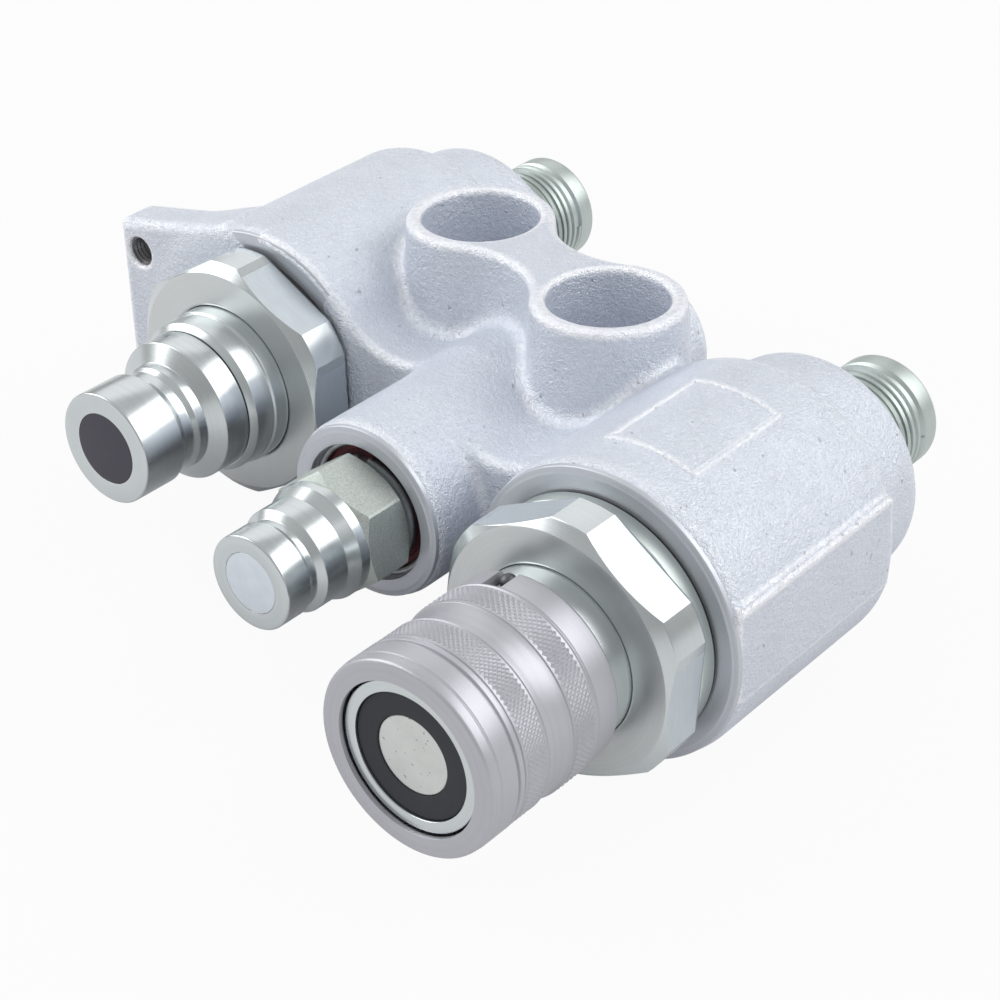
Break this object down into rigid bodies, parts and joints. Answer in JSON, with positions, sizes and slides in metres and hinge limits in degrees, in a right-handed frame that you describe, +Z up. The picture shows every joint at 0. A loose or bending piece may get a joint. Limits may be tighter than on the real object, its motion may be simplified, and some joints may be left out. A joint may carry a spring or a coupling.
{
  "type": "hydraulic coupler block",
  "caption": "Cast hydraulic coupler block with a flat-face male coupler, a flat-face female coupler, a case-drain nipple, a fixing ear and threaded hose ends",
  "frame": {"origin": "centre of the male coupler's flat end face", "axes": "+X from the male coupler to the female coupler, +Y from the coupler faces back to the hose threads, +Z up, out of the open bosses"},
  "size_m": [0.1948, 0.1877, 0.0633],
  "materials": {
    "silver_casting": "fine-textured silver paint on a casting",
    "zinc_nut": "satin zinc plate with brushed flats",
    "bright_zinc": "bright turned zinc plate",
    "drain_zinc": "bright turned zinc plate with a blasted hexagon",
    "fitting_zinc": "pale zinc plate",
    "dark_valve_steel": "dark phosphated steel, faintly turned",
    "pale_valve_steel": "satin plated steel",
    "stem_zinc": "satin zinc plate",
    "grey_sleeve": "matte lavender-grey plating, knurled",
    "black_seal": "black rubber over a steel sleeve",
    "red_seal": "dark red rubber",
    "spring_steel": "drawn spring steel",
    "guide_steel": "machined steel",
    "ball_steel": "polished hardened steel"
  },
  "bodies": {
    "block": {"manifold_block": "silver_casting", "male_retaining_nut": "zinc_nut", "female_retaining_nut": "zinc_nut", "female_nut_washer": "zinc_nut", "nut_seal_rings": "black_seal", "drain_nipple": "drain_zinc", "drain_valve_guide": "guide_steel", "drain_guide_ring": "spring_steel", "drain_wire_ring": "spring_steel", "drain_seal_ring": "red_seal", "male_side_hose_fitting": "fitting_zinc", "female_side_hose_fitting": "fitting_zinc", "fitting_seal_rings": "black_seal", "male_return_spring": "spring_steel", "female_return_spring": "spring_steel", "drain_valve_spring": "spring_steel"},
    "male_cartridge": {"male_carrier": "bright_zinc", "male_nipple": "bright_zinc", "male_valve_guide": "guide_steel", "male_guide_ring": "spring_steel", "male_cartridge_seal": "black_seal", "male_valve_spring": "spring_steel"},
    "male_valve": {"male_valve": "dark_valve_steel"},
    "drain_valve": {"drain_valve": "pale_valve_steel"},
    "female_cartridge": {"female_body": "bright_zinc", "female_stem": "stem_zinc", "female_stem_ring": "spring_steel", "locking_balls": "ball_steel", "sleeve_stop_ball": "ball_steel", "female_cartridge_seal": "black_seal", "locking_sleeve_spring": "spring_steel", "seal_sleeve_spring": "spring_steel"},
    "seal_sleeve": {"seal_sleeve": "black_seal"},
    "locking_sleeve": {"locking_sleeve": "grey_sleeve"}
  },
  "joints": [
    {"name": "male_push", "type": "slide", "parent": "block", "child": "male_cartridge", "axis": [0, 1, 0], "range_m": [0, 0.0025], "stiffness_N_per_m": 9000, "springref_m": -0.004, "deforming": ["male_return_spring"]},
    {"name": "male_valve_open", "type": "slide", "parent": "male_cartridge", "child": "male_valve", "axis": [0, 1, 0], "range_m": [0, 0.018], "stiffness_N_per_m": 900, "springref_m": -0.012, "deforming": ["male_valve_spring"]},
    {"name": "drain_valve_open", "type": "slide", "parent": "block", "child": "drain_valve", "axis": [0, 1, 0], "range_m": [0, 0.011], "stiffness_N_per_m": 700, "springref_m": -0.01, "deforming": ["drain_valve_spring"]},
    {"name": "female_push", "type": "slide", "parent": "block", "child": "female_cartridge", "axis": [0, 1, 0], "range_m": [0, 0.0025], "stiffness_N_per_m": 9000, "springref_m": -0.004, "deforming": ["female_return_spring"]},
    {"name": "sleeve_pull", "type": "slide", "parent": "female_cartridge", "child": "locking_sleeve", "axis": [0, 1, 0], "range_m": [0, 0.0025], "stiffness_N_per_m": 2500, "springref_m": -0.006, "deforming": ["locking_sleeve_spring"]},
    {"name": "seal_sleeve_open", "type": "slide", "parent": "female_cartridge", "child": "seal_sleeve", "axis": [0, 1, 0], "range_m": [0, 0.018], "stiffness_N_per_m": 800, "springref_m": -0.012, "deforming": ["seal_sleeve_spring"]}
  ]
}
